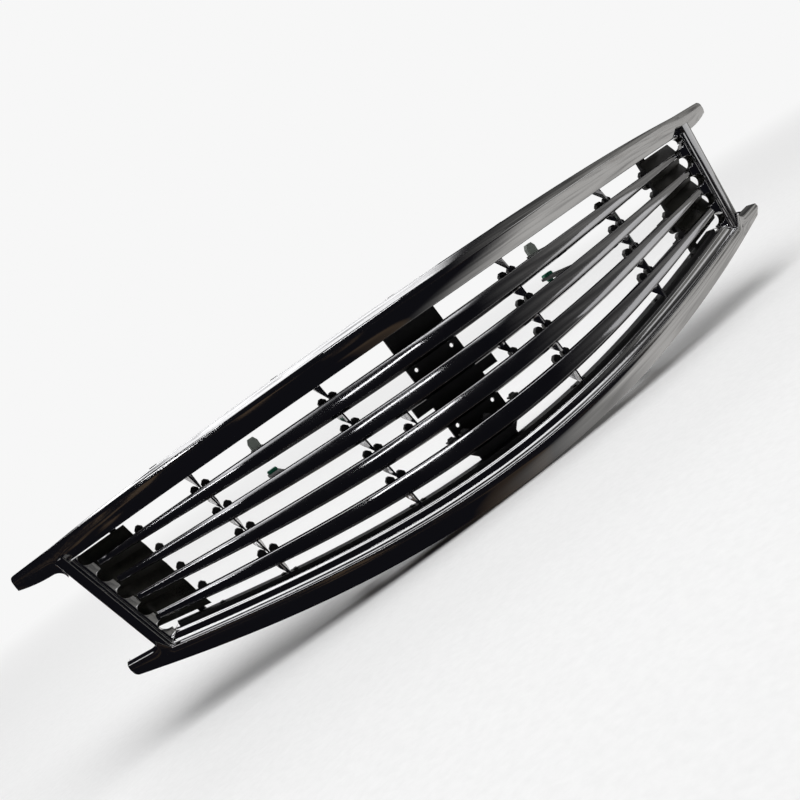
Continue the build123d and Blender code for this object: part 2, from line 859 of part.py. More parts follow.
def build():
    nodes = {"surround": cut_all(surround(), screw_holes())}
    nodes["upper_trim_rail"] = upper_rail()
    nodes["lower_cove_trim"] = cove_trim()
    for index in range(slat_count):
        nodes["slat_" + str(index + 1)] = slat(index)
        nodes["slat_rib_" + str(index + 1)] = slat_rib(index)
    nodes["upper_carrier_beam"] = upper_beam()
    nodes["lower_carrier_beam"] = lower_beam()
    carrier = [nodes["slat_rib_" + str(index + 1)] for index in range(slat_count)]
    carrier += [nodes["upper_carrier_beam"], nodes["lower_carrier_beam"]]
    for name, side in (("left", -1), ("right", 1)):
        nodes["end_bezel_" + name] = end_bezel(side)
        nodes["end_panel_" + name] = end_panel(side)
        nodes["end_post_" + name] = end_post(side, carrier)
        nodes["upper_push_clip_" + name] = push_clip(side, 0)
        nodes["lower_push_clip_" + name] = push_clip(side, 1)
    nodes["badge_bracket"] = badge_bracket()
    nodes["badge_clips"] = Compound([badge_clip(x) for x in badge_clip_places])
    nodes["tab_sleeves"] = Compound(sleeves())
    nodes["carrier_screws"] = Compound([screw(*seat) for seat in screw_seats()])
    nodes["seal_strip"] = sweep_across(spread(-seal_reach, seal_reach, 9), seal_section)
    nodes["rubber_buffers"] = Compound([buffer(side, share) for side in (-1, 1) for share in (0.25, 0.75)])
    nodes["trim_springs"] = Compound([trim_spring(x) for x in trim_spring_places])
    return nodes


def main():
    os.makedirs("parts", exist_ok=True)
    y_zero, z_zero = datum()
    for name, shape in build().items():
        write(name, shape.moved(Location((0, -y_zero, -z_zero))))
    print("origin in the layout:", round(y_zero, 2), round(z_zero, 2))


main()
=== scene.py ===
import json
import math
import bmesh
import bpy
from mathutils import Matrix, Vector


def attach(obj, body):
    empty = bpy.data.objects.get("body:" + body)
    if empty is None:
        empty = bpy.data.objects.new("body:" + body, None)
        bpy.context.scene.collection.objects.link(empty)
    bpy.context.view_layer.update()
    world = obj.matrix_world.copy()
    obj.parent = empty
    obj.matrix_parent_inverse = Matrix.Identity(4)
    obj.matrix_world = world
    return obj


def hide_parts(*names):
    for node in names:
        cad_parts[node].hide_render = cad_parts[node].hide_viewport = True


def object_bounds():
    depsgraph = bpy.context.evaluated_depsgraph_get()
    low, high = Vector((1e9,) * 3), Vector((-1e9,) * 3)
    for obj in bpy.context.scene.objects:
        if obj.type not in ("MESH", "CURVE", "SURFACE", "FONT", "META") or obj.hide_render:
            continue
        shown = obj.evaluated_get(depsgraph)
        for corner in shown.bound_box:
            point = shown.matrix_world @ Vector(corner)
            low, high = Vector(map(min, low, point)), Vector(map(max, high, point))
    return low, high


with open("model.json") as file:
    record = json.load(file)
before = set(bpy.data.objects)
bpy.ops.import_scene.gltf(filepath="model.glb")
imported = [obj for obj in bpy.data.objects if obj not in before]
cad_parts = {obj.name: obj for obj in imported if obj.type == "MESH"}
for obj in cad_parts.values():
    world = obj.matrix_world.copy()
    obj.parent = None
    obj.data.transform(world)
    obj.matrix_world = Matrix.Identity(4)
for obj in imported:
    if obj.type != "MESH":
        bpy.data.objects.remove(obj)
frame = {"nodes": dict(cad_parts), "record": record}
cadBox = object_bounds()
print("frame loaded:", len(frame["nodes"]), "nodes")

# the grille's own lines in millimetres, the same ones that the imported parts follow
layout = {"halfOpening": 368.5, "overrun": 31.5, "fanRate": 0.00077,
          "upperDepth": 46.0, "lowerDepth": 7.0, "upperBow": 72.0, "lowerBow": 60.0,
          "upperLip": (80.3, 4.5, 4.2), "lowerLip": (-14.0, -53.9, 16.7),
          "originDepth": 25.48, "originHeight": 105.24}
curveHalf = layout["halfOpening"] + layout["overrun"]


def mix(a, b, share):
    return a + (b - a) * share


def spread(start, end, count):
    return [mix(start, end, i / (count - 1)) for i in range(count)]


def across(x, end, rise, shoulder):
    t2 = (x / curveHalf) ** 2
    return end + rise * (1 - t2) + shoulder * t2 * (1 - t2)


def planePoint(x, share):
    # depth and height on the bowed slat plane, 0 at the upper lip and 1 at the lower one
    z = mix(across(x, *layout["upperLip"]), across(x, *layout["lowerLip"]), share)
    bow = mix(layout["upperBow"], layout["lowerBow"], share)
    y = mix(layout["upperDepth"], layout["lowerDepth"], share) - bow * (1 - (x / curveHalf) ** 2)
    return y, z


def fan(x, z):
    return x * (1 + layout["fanRate"] * z)


def crown(x):
    return max(0.0, 1.0 - (x / curveHalf) ** 2)


def toFrame(x, y, z):
    return (x / 1000, (y - layout["originDepth"]) / 1000, (z - layout["originHeight"]) / 1000)


# mesh helpers

cornerLook = {"radius": 0.35, "faceShare": 0.42, "steps": 5}


def roundedSection(points, radii, bulges, faceSteps=5):
    # softens each corner and bulges the named faces; always the same number of points
    count, result, cornerSteps = len(points), [], cornerLook["steps"]

    def towards(a, b, reach):
        length = math.dist(a, b)
        return mix(a[0], b[0], reach / length), mix(a[1], b[1], reach / length)

    def reachOf(i, other):
        longest = cornerLook["faceShare"] * math.dist(points[i], points[other % count])
        return min(radii.get(i, cornerLook["radius"]), longest)

    for i, corner in enumerate(points):
        before, after = points[i - 1], points[(i + 1) % count]
        start = towards(corner, before, reachOf(i, i - 1))
        end = towards(corner, after, reachOf(i, i + 1))
        for step in range(cornerSteps):
            t = step / (cornerSteps - 1)
            near, far = (1 - t) ** 2, t * t
            middle = 1 - near - far
            result.append((near * start[0] + middle * corner[0] + far * end[0],
                           near * start[1] + middle * corner[1] + far * end[1]))
        if i in bulges:
            stop = towards(after, corner, reachOf((i + 1) % count, i))
            length = math.dist(end, stop)
            outY, outZ = (stop[1] - end[1]) / length, -(stop[0] - end[0]) / length
            for step in range(1, faceSteps + 1):
                t = step / (faceSteps + 1)
                push = 4 * bulges[i] * t * (1 - t)
                onFace = mix(end[0], stop[0], t), mix(end[1], stop[1], t)
                result.append((onFace[0] + outY * push, onFace[1] + outZ * push))
    return result


def loftRings(rings, shells):
    # adds a closed skin through the rings to the shells, a pair of vertex and face lists
    verts, faces = shells
    base, count = len(verts), len(rings[0])
    for ring in rings:
        verts += [toFrame(*point) for point in ring]
    for r in range(len(rings) - 1):
        for i in range(count):
            a, b = base + r * count + i, base + r * count + (i + 1) % count
            faces.append((a, b, b + count, a + count))
    faces.append(tuple(base + i for i in reversed(range(count))))
    last = base + (len(rings) - 1) * count
    faces.append(tuple(last + i for i in range(count)))


def makePiece(name, shells, node, material, sharpAngle=38):
    mesh = bpy.data.meshes.new(name)
    mesh.from_pydata(shells[0], [], shells[1])
    mesh.validate()
    piece = bpy.data.objects.new(name, mesh)
    bpy.context.collection.objects.link(piece)
    fixNormals(mesh)
    mesh.shade_smooth()
    mesh.set_sharp_from_angle(angle=math.radians(sharpAngle))
    mesh.materials.append(material)
    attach(piece, "root")
    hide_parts(node)
    return piece


def fixNormals(mesh):
    work = bmesh.new()
    work.from_mesh(mesh)
    bmesh.ops.remove_doubles(work, verts=work.verts, dist=1e-6)
    bmesh.ops.dissolve_degenerate(work, edges=work.edges, dist=1e-6)
    bmesh.ops.recalc_face_normals(work, faces=work.faces)
    work.to_mesh(mesh)
    work.free()


# shader groups

def newGroup(name, inputs, outputs):
    group = bpy.data.node_groups.new(name, "ShaderNodeTree")
    for label, kind, value in inputs:
        socket = group.interface.new_socket(label, in_out="INPUT", socket_type="NodeSocket" + kind)
        socket.default_value = value
    for label, kind in outputs:
        group.interface.new_socket(label, in_out="OUTPUT", socket_type="NodeSocket" + kind)
    return group, group.nodes.new("NodeGroupInput"), group.nodes.new("NodeGroupOutput")


def addNode(tree, kind, links=None, **settings):
    # a node with its settings; links maps an input's name or number to a socket or a value
    node = tree.nodes.new("ShaderNode" + kind)
    for key, value in settings.items():
        setattr(node, key, value)
    for key, source in (links or {}).items():
        if isinstance(source, bpy.types.NodeSocket):
            tree.links.new(source, node.inputs[key])
        else:
            node.inputs[key].default_value = source
    return node


def remap(tree, value, start, end, low=0.0, high=1.0, kind="LINEAR"):
    # carries the stretch from start to end over to low to high, and holds it there outside
    links = {"Value": value, "From Min": start, "From Max": end, "To Min": low, "To Max": high}
    return addNode(tree, "MapRange", links, interpolation_type=kind).outputs[0]


def combine(tree, operation, *values):
    return addNode(tree, "Math", dict(enumerate(values)), operation=operation).outputs[0]


def mixColours(tree, amount, first, second):
    return addNode(tree, "Mix", {"Factor": amount, 6: first, 7: second}, data_type="RGBA").outputs[2]


def noise(tree, place, scale, detail, **more):
    return addNode(tree, "TexNoise", {"Vector": place, "Scale": scale, "Detail": detail, **more}).outputs[0]


def stretch(tree, place, scale, turn=0.0):
    links = {"Vector": place, "Rotation": (0.0, 0.0, turn), "Scale": scale}
    return addNode(tree, "Mapping", links).outputs[0]


def makePlatingGroup():
    # long soft waves and fine orange peel of plated plastic, with dust specks and hazy patches
    inputs = [("Peel Scale", "Float", 420.0), ("Peel Depth", "Float", 0.15), ("Wave Depth", "Float", 1.0),
              ("Dust", "Float", 0.3), ("Haze", "Float", 0.04)]
    outputs = [("Height", "Float"), ("Roughness", "Float"), ("Dust Mask", "Float")]
    group, into, out = newGroup("platingSurface", inputs, outputs)
    place = addNode(group, "TexCoord").outputs["Object"]
    wave = noise(group, stretch(group, place, (1.0, 3.0, 3.0)), 9.0, 1.0)
    peel = noise(group, place, into.outputs["Peel Scale"], 2.0)
    waves = combine(group, "MULTIPLY", wave, into.outputs["Wave Depth"])
    height = combine(group, "MULTIPLY_ADD", peel, into.outputs["Peel Depth"], waves)
    patches = remap(group, noise(group, place, 14.0, 6.0, Roughness=0.65), 0.42, 0.7)
    speck = addNode(group, "TexVoronoi", {"Vector": place, "Scale": 330.0}).outputs["Distance"]
    dots = remap(group, speck, 0.16, 0.07)
    dust = combine(group, "MULTIPLY", combine(group, "MULTIPLY", dots, patches), into.outputs["Dust"])
    haze = combine(group, "MULTIPLY", patches, into.outputs["Haze"])
    rough = combine(group, "MULTIPLY_ADD", dust, 0.5, haze)
    group.links.new(height, out.inputs["Height"])
    group.links.new(rough, out.inputs["Roughness"])
    group.links.new(dust, out.inputs["Dust Mask"])
    return group


def makeMouldingGroup():
    # fine spark-eroded grain, slow flow marks and pale dust of bare moulded plastic
    inputs = [("Grain Scale", "Float", 900.0), ("Flow", "Float", 0.3), ("Dust", "Float", 0.3)]
    outputs = [("Height", "Float"), ("Tone", "Float"), ("Dust Mask", "Float")]
    group, into, out = newGroup("mouldedSurface", inputs, outputs)
    place = addNode(group, "TexCoord").outputs["Object"]
    grain = noise(group, place, into.outputs["Grain Scale"], 3.0)
    flow = noise(group, place, 16.0, 5.0, Distortion=1.2)
    flows = combine(group, "MULTIPLY", flow, into.outputs["Flow"])
    tone = combine(group, "MULTIPLY_ADD", grain, 0.35, flows)
    upward = addNode(group, "SeparateXYZ", {0: addNode(group, "NewGeometry").outputs["Normal"]})
    lying = remap(group, upward.outputs["Z"], 0.1, 0.95)
    loose = remap(group, noise(group, place, 55.0, 7.0, Roughness=0.7), 0.4, 0.75)
    dust = combine(group, "MULTIPLY", combine(group, "MULTIPLY", lying, loose), into.outputs["Dust"])
    group.links.new(grain, out.inputs["Height"])
    group.links.new(tone, out.inputs["Tone"])
    group.links.new(dust, out.inputs["Dust Mask"])
    return group


platingGroup = makePlatingGroup()
mouldingGroup = makeMouldingGroup()


def newMaterial(name):
    material = bpy.data.materials.new(name)
    material.use_nodes = True
    return material, material.node_tree, material.node_tree.nodes["Principled BSDF"]


def placeGroup(tree, group, values):
    node = tree.nodes.new("ShaderNodeGroup")
    node.node_tree = group
    for key, value in values.items():
        node.inputs[key].default_value = value
    return node


def addBump(tree, height, look):
    links = {"Height": height, "Distance": look["bumpDepth"], "Strength": look["bump"]}
    return addNode(tree, "Bump", links).outputs[0]


def makePlating(name, look):
    material, tree, shader = newMaterial(name)
    skin = placeGroup(tree, platingGroup, look["surface"])
    tint = mixColours(tree, skin.outputs["Dust Mask"], look["metal"], look["dust"])
    rough = combine(tree, "ADD", skin.outputs["Roughness"], look["roughness"])
    tree.links.new(tint, shader.inputs["Base Color"])
    tree.links.new(rough, shader.inputs["Roughness"])
    tree.links.new(addBump(tree, skin.outputs["Height"], look), shader.inputs["Normal"])
    shader.inputs["Metallic"].default_value = 1.0
    return material


def makeMoulding(name, look):
    material, tree, shader = newMaterial(name)
    skin = placeGroup(tree, mouldingGroup, look["surface"])
    body = mixColours(tree, skin.outputs["Tone"], look["deep"], look["pale"])
    dusted = mixColours(tree, skin.outputs["Dust Mask"], body, look["dust"])
    rough = remap(tree, skin.outputs["Tone"], 0.0, 1.0, look["smooth"], look["rough"])
    tree.links.new(dusted, shader.inputs["Base Color"])
    tree.links.new(rough, shader.inputs["Roughness"])
    tree.links.new(addBump(tree, skin.outputs["Height"], look), shader.inputs["Normal"])
    shader.inputs["Metallic"].default_value = look.get("metallic", 0.0)
    return material


platingLooks = {
    "surround_chrome": {"metal": (0.72, 0.72, 0.73, 1), "dust": (0.5, 0.48, 0.45, 1), "roughness": 0.05,
                        "bumpDepth": 0.0006, "bump": 1.0,
                        "surface": {"Peel Scale": 420.0, "Peel Depth": 0.02, "Wave Depth": 1.0,
                                    "Dust": 0.25, "Haze": 0.05}},
    "dark_chrome": {"metal": (0.60, 0.60, 0.62, 1), "dust": (0.5, 0.48, 0.45, 1), "roughness": 0.06,
                    "bumpDepth": 0.0006, "bump": 1.0,
                    "surface": {"Peel Scale": 480.0, "Peel Depth": 0.02, "Wave Depth": 1.2,
                                "Dust": 0.3, "Haze": 0.07}},
    "bezel_chrome": {"metal": (0.66, 0.66, 0.67, 1), "dust": (0.5, 0.48, 0.45, 1), "roughness": 0.04,
                     "bumpDepth": 0.0008, "bump": 1.0,
                     "surface": {"Peel Scale": 300.0, "Peel Depth": 0.04, "Wave Depth": 1.6,
                                 "Dust": 0.2, "Haze": 0.04}}}

mouldingLooks = {
    "carrier_black": {"deep": (0.010, 0.010, 0.011, 1), "pale": (0.030, 0.030, 0.032, 1),
                      "dust": (0.16, 0.15, 0.14, 1), "smooth": 0.35, "rough": 0.6, "bumpDepth": 0.00012,
                      "bump": 0.6, "surface": {"Grain Scale": 900.0, "Flow": 0.5, "Dust": 0.4}},
    "panel_black": {"deep": (0.012, 0.012, 0.010, 1), "pale": (0.036, 0.035, 0.030, 1),
                    "dust": (0.16, 0.15, 0.13, 1), "smooth": 0.18, "rough": 0.42, "bumpDepth": 0.00008,
                    "bump": 0.6, "surface": {"Grain Scale": 1100.0, "Flow": 0.6, "Dust": 0.3}},
    "bracket_black": {"deep": (0.010, 0.010, 0.012, 1), "pale": (0.026, 0.026, 0.028, 1),
                      "dust": (0.14, 0.14, 0.13, 1), "smooth": 0.4, "rough": 0.65, "bumpDepth": 0.00012,
                      "bump": 0.6, "surface": {"Grain Scale": 800.0, "Flow": 0.4, "Dust": 0.35}},
    "green_nylon": {"deep": (0.012, 0.11, 0.065, 1), "pale": (0.035, 0.26, 0.16, 1),
                    "dust": (0.3, 0.34, 0.3, 1), "smooth": 0.25, "rough": 0.45, "bumpDepth": 0.00006,
                    "bump": 0.6, "surface": {"Grain Scale": 700.0, "Flow": 0.7, "Dust": 0.2}},
    "grey_nylon": {"deep": (0.13, 0.15, 0.135, 1), "pale": (0.26, 0.29, 0.26, 1),
                   "dust": (0.4, 0.4, 0.38, 1), "smooth": 0.35, "rough": 0.55, "bumpDepth": 0.00006,
                   "bump": 0.6, "surface": {"Grain Scale": 700.0, "Flow": 0.7, "Dust": 0.25}},
    "zinc_steel": {"deep": (0.38, 0.38, 0.37, 1), "pale": (0.66, 0.66, 0.64, 1),
                   "dust": (0.4, 0.37, 0.32, 1), "smooth": 0.22, "rough": 0.48, "bumpDepth": 0.00005,
                   "bump": 0.6, "metallic": 1.0,
                   "surface": {"Grain Scale": 1400.0, "Flow": 0.8, "Dust": 0.2}},
    "black_screw": {"deep": (0.020, 0.020, 0.022, 1), "pale": (0.055, 0.055, 0.06, 1),
                    "dust": (0.2, 0.18, 0.16, 1), "smooth": 0.25, "rough": 0.45, "bumpDepth": 0.00005,
                    "bump": 0.6, "metallic": 0.8,
                    "surface": {"Grain Scale": 1200.0, "Flow": 0.6, "Dust": 0.25}},
    "foam": {"deep": (0.012, 0.012, 0.012, 1), "pale": (0.05, 0.05, 0.05, 1),
             "dust": (0.2, 0.19, 0.18, 1), "smooth": 0.8, "rough": 0.98, "bumpDepth": 0.0006,
             "bump": 0.6, "surface": {"Grain Scale": 1500.0, "Flow": 0.5, "Dust": 0.4}},
    "buffer_rubber": {"deep": (0.010, 0.010, 0.010, 1), "pale": (0.03, 0.03, 0.03, 1),
                      "dust": (0.18, 0.17, 0.16, 1), "smooth": 0.55, "rough": 0.8, "bumpDepth": 0.0001,
                      "bump": 0.6, "surface": {"Grain Scale": 1000.0, "Flow": 0.4, "Dust": 0.35}}}

materials = {name: makePlating(name, look) for name, look in platingLooks.items()}
materials.update({name: makeMoulding(name, look) for name, look in mouldingLooks.items()})
print("materials made:", len(materials))

for row in frame["record"]["subparts"]:
    for part in frame["nodes"][row["node"]].material_slots:
        part.material = materials[row["material_slot"]]

# surround
surroundSize = {"wall": 3.0, "lipForward": 12.0, "faceHeight": 19.5, "faceForward": 2.0,
                "crownForward": 6.0, "bevelEnd": 1.5, "bevelCrown": 10.0, "bevelSetBack": 8.0,
                "upperReturn": 44.0, "lipReturn": 17.0, "lowerEnd": 13.0, "lowerCrown": 9.5,
                "coveHeight": 12.0, "coveDepth": 11.0, "baseSetBack": 4.0, "lowerReturn": 36.0,
                "returnFall": 5.0, "barWidth": 9.0, "barDepth": 22.0, "upperReach": 44.5,
                "upperFillet": 10.0, "sag": 1.8, "climb": 8.0, "upperTip": 3.0,
                "lowerReach": 32.5, "lowerFillet": 8.0, "flat": 3.5, "lowerTip": 4.0,
                "barRings": 90, "filletRings": 14, "hornRings": 12, "tipRings": 10, "sideRings": 24,
                "sideRoot": 5.0, "sideHead": 6.0}


def lipPoint(x):
    y, z = planePoint(x, 0.0)
    return y - surroundSize["lipForward"], z


def creasePoint(x):
    y, z = lipPoint(x)
    forward = surroundSize["faceForward"] + surroundSize["crownForward"] * crown(x)
    return y - forward, z + surroundSize["faceHeight"]


def topPoint(x):
    y, z = creasePoint(x)
    rise = surroundSize["bevelEnd"] + surroundSize["bevelCrown"] * crown(x)
    return y + surroundSize["bevelSetBack"], z + rise


def browPoint(x):
    y, z = planePoint(x, 1.0)
    return y - surroundSize["coveDepth"], z - surroundSize["coveHeight"]


def basePoint(x):
    y, z = browPoint(x)
    fullness = max(0.0, 1 - (x / curveHalf) ** 4)
    drop = surroundSize["lowerEnd"] + surroundSize["lowerCrown"] * fullness
    return y + surroundSize["baseSetBack"], z - drop


def filletRise(distance, radius):
    inside = max(0.0, radius - distance)
    return radius - math.sqrt(radius ** 2 - inside ** 2)


def upperSection(x, rise, drop):
    (ly, lz), (cy, cz), (ty, tz) = lipPoint(x), creasePoint(x), topPoint(x)
    w, back, deep = surroundSize["wall"], surroundSize["upperReturn"], surroundSize["lipReturn"]
    ty, tz, cz, lz, fall = ty + drop, tz - drop, cz - drop, lz + rise, surroundSize["returnFall"]
    points = [(ty + back, tz - fall), (ty, tz), (cy, cz), (ly, lz), (ly + deep, lz + 0.5),
              (ly + deep, lz + 0.5 + w), (ly + w, lz + w), (cy + w + 0.5, cz - w), (ty + 0.5, tz - w),
              (ty + back, tz - fall - w)]
    return roundedSection(points, {1: 3.5, 2: 1.6, 3: 1.4}, {1: 0.6, 2: 0.8})


def lowerSection(x, rise, lift):
    (by, bz), (sy, sz) = browPoint(x), basePoint(x)
    w, fall, deep = surroundSize["wall"], surroundSize["returnFall"], surroundSize["lipReturn"]
    back, bz, sz = sy + surroundSize["lowerReturn"], bz + rise, sz + lift
    points = [(by + deep, bz + 1), (by, bz), (sy, sz), (back, sz + fall), (back, sz + fall + w),
              (sy + w, sz + w + 0.3), (by + w, bz - w), (by + deep, bz + 1 - w)]
    return roundedSection(points, {1: 1.8, 2: 4.5}, {1: 1.8})


def barStations(start, notch, reach, fillet, tip):
    # even along the bar, close together where a horn leaves its side bar and at its rounded tip
    near, far = surroundSize["filletRings"], surroundSize["tipRings"]
    half = spread(0.0, start, surroundSize["barRings"])
    half += [notch + fillet * (i / near) ** 2 for i in range(near + 1)]
    half += spread(notch + fillet, notch + reach - tip, surroundSize["hornRings"])[1:]
    half += [notch + reach - tip * (1 - i / far) ** 2 for i in range(1, far + 1)]
    return [-x for x in reversed(half[1:])] + half


def upperBar(shells):
    size, inner = surroundSize, layout["halfOpening"]
    lipEnd = lipPoint(inner)[1]
    start, notch = fan(inner, lipEnd), fan(inner + size["barWidth"], lipEnd)
    rings = []
    for x in barStations(start, notch, size["upperReach"], size["upperFillet"], size["upperTip"]):
        distance = abs(x) - notch
        rise, drop = 0.0, 0.0
        if distance >= 0:
            climb = size["climb"] * (distance / size["upperReach"]) ** 2
            rise = climb - size["sag"] - filletRise(distance, size["upperFillet"])
            drop = filletRise(max(0.0, size["upperReach"] - distance), size["upperTip"])
        rings.append([(x, y, z) for y, z in upperSection(x, rise, drop)])
    loftRings(rings, shells)


def lowerBar(shells):
    size, inner = surroundSize, layout["halfOpening"]
    browEnd = browPoint(inner)[1]
    start, notch = fan(inner, browEnd), fan(inner + size["barWidth"], browEnd)
    rings = []
    for x in barStations(start, notch, size["lowerReach"], size["lowerFillet"], size["lowerTip"]):
        distance = abs(x) - notch
        rise, lift = 0.0, 0.0
        if distance >= 0:
            flat = size["flat"] * (1 - distance / size["lowerReach"])
            rise = flat + filletRise(distance, size["lowerFillet"])
            lift = filletRise(max(0.0, size["lowerReach"] - distance), size["lowerTip"])
        rings.append([(x, y, z) for y, z in lowerSection(x, rise, lift)])
    loftRings(rings, shells)


def sideFront(z):
    (lowY, lowZ), (highY, highZ) = browPoint(layout["halfOpening"]), lipPoint(layout["halfOpening"])
    return mix(lowY, highY, (z - lowZ) / (highZ - lowZ))


def sideBar(side, shells):
    inner, w, deep = layout["halfOpening"], surroundSize["wall"], surroundSize["barDepth"]
    outer = inner + surroundSize["barWidth"]
    points = [(inner, 0.0), (outer, 0.0), (outer, deep), (outer - w, deep), (outer - w, w + 0.5),
              (inner + w, w + 0.5), (inner + w, deep), (inner, deep)]
    section = roundedSection(points, {0: 0.9, 1: 2.2}, {})
    low = browPoint(inner)[1] - surroundSize["sideRoot"]
    levels = spread(low, lipPoint(inner)[1] + surroundSize["sideHead"], surroundSize["sideRings"])
    rings = [[(side * fan(x, z), sideFront(z) + y, z) for x, y in section] for z in levels]
    loftRings(rings, shells)


surroundShells = ([], [])
upperBar(surroundShells)
lowerBar(surroundShells)
for side in (-1, 1):
    sideBar(side, surroundShells)
makePiece("surroundShell", surroundShells, "surround", materials["surround_chrome"])
print("surround made")

# slats
slatSize = {"count": 4, "firstShare": 0.176, "pitchShare": 0.2175, "endHeight": 3.5, "crownHeight": 16.0,
            "nose": 0.45, "bevel": 0.22, "wall": 2.4, "return": 9.0, "bulge": 0.4, "tipGap": 1.8,
            "bezelWidth": 13.0, "rings": 161, "gussets": (106.3, 243.0), "centreGusset": 59.5,
            "centreSlat": 1, "gussetDepth": 17.0, "gussetFront": 1.6, "gussetRear": 8.0,
            "gussetRearHeight": 3.0, "gussetSteps": 8, "gussetRoot": (0.6, 1.2), "footIn": 1.0,
            "seatGap": 0.4}


def slatShare(index):
    return slatSize["firstShare"] + slatSize["pitchShare"] * index


def slatHeight(x):
    return slatSize["endHeight"] + slatSize["crownHeight"] * crown(x)


def slatTop(x, index):
    y, z = planePoint(x, slatShare(index))
    return y, z + slatHeight(x) / 2


def slatBottom(x, index):
    y, z = planePoint(x, slatShare(index))
    return y, z - slatHeight(x) / 2


def slatSection(x, index):
    h, w, back = slatHeight(x), slatSize["wall"], slatSize["return"]
    (ay, az), (dy, dz) = slatTop(x, index), slatBottom(x, index)
    cy, cz = dy - slatSize["nose"] * h, dz + slatSize["bevel"] * h
    points = [(ay, az), (cy, cz), (dy, dz), (dy + w, dz + 0.3), (cy + 1.5 * w, cz + 0.2 * w),
              (ay + 1.2 * w, az - w), (ay + back, az - w), (ay + back, az)]
    return roundedSection(points, {0: 0.9, 1: 1.1, 2: 0.6}, {0: slatSize["bulge"]})


def gapFloor(x, gap):
    return slatTop(x, gap) if gap < slatSize["count"] else planePoint(x, 1.0)


def gusset(x, index, shells):
    # a wedge that is thin in front, with slightly hollow sides that widen to the rear
    xTop = fan(x, slatBottom(x, index)[1])
    (ty, tz), (by, bz) = slatBottom(xTop, index), gapFloor(xTop, index + 1)
    rootIn, rootUp = slatSize["gussetRoot"]
    ty, tz, by, bz = ty + rootIn, tz + rootUp, by + slatSize["footIn"], bz + slatSize["seatGap"]
    rings = []
    for step in range(slatSize["gussetSteps"] + 1):
        t = step / slatSize["gussetSteps"]
        half = mix(slatSize["gussetFront"], slatSize["gussetRear"], t * t * (3 - 2 * t)) / 2
        frontX, footX = fan(x, tz), fan(x, bz)
        depth = slatSize["gussetDepth"] * t
        foot = mix(bz, tz - slatSize["gussetRearHeight"], t)
        footY = mix(by, ty + slatSize["gussetDepth"], t)
        lowX = mix(footX, frontX, t)
        rings.append([(frontX - half, ty + depth, tz), (frontX + half, ty + depth, tz),
                      (lowX + half, footY, foot), (lowX - half, footY, foot)])
    loftRings(rings, shells)


def makeSlat(index):
    shells = ([], [])
    endZ = planePoint(layout["halfOpening"], slatShare(index))[1]
    reach = fan(layout["halfOpening"] - slatSize["bezelWidth"] - slatSize["tipGap"], endZ)
    stations = spread(-reach, reach, slatSize["rings"])
    loftRings([[(x, y, z) for y, z in slatSection(x, index)] for x in stations], shells)
    places = list(slatSize["gussets"])
    if index == slatSize["centreSlat"]:
        places.append(slatSize["centreGusset"])
    for x in places:
        for side in (-1, 1):
            gusset(side * x, index, shells)
    node = "slat_" + str(index + 1)
    makePiece("slatBlade" + str(index + 1), shells, node, materials["dark_chrome"])


for index in range(slatSize["count"]):
    makeSlat(index)
print("slats made")

# cove trim and end bezels
coveSize = {"wall": 2.4, "tail": 8.0, "trimGap": 0.5, "footGap": 2.0, "mitreGap": 0.5,
            "mitreSlope": 0.8, "setIn": 2.0, "hollow": 2.2, "backBulge": 1.6, "rings": 201, "faceSteps": 11}
bezelSize = {"width": 13.0, "depth": 15.0, "scoopDepth": 8.0, "scoopRatio": 0.42, "rings": 330,
             "rimWidth": 2.2, "grooveWidth": 3.2, "shoulder": 5.0, "front": 0.6, "groove": 2.8,
             "shoulderDepth": 1.8, "fall": 4.2, "sharpAngle": 50}


def mitreAt(lift):
    edge = fan(layout["halfOpening"], browPoint(layout["halfOpening"])[1])
    return edge - coveSize["setIn"], browPoint(edge)[1] + lift


def coveSection(x):
    (ly, lz), (by, bz), w = planePoint(x, 1.0), browPoint(x), coveSize["wall"]
    tail = ly + coveSize["tail"]
    points = [(tail, lz), (ly, lz), (ly - 1.6, lz - 2.0), (by + 0.6, bz + 0.5), (by + 4.0, bz + 0.8),
              (ly + 1.2, lz - w - 1.2), (tail, lz - w)]
    bulges = {2: -coveSize["hollow"], 4: coveSize["backBulge"]}
    return roundedSection(points, {1: 0.8, 2: 0.8, 3: 0.5}, bulges, coveSize["faceSteps"])


def makeCove():
    shells = ([], [])
    mitreX, mitreZ = mitreAt(coveSize["footGap"] - coveSize["mitreGap"])
    reach = mitreX + coveSize["setIn"] - coveSize["trimGap"]
    rings = []
    for x in spread(-reach, reach, coveSize["rings"]):
        ring = []
        for y, z in coveSection(x):
            limit = mitreX - (z - mitreZ) / coveSize["mitreSlope"]
            ring.append((max(-limit, min(limit, x)), y, z))
        rings.append(ring)
    loftRings(rings, shells)
    makePiece("coveTrim", shells, "lower_cove_trim", materials["bezel_chrome"])


def gapSpan(x, gap):
    high = lipPoint(x)[1] if gap == 0 else slatBottom(x, gap - 1)[1]
    return gapFloor(x, gap)[1], high


def scoopAt(z):
    # how far a scoop reaches outwards at this height
    inner = layout["halfOpening"] - bezelSize["width"]
    for gap in range(slatSize["count"] + 1):
        low, high = gapSpan(inner, gap)
        radius = bezelSize["scoopRatio"] * (high - low)
        off = abs(z - (low + high) / 2)
        if off < radius:
            return bezelSize["scoopDepth"] - radius + math.sqrt(radius ** 2 - off ** 2)
    return 0.0


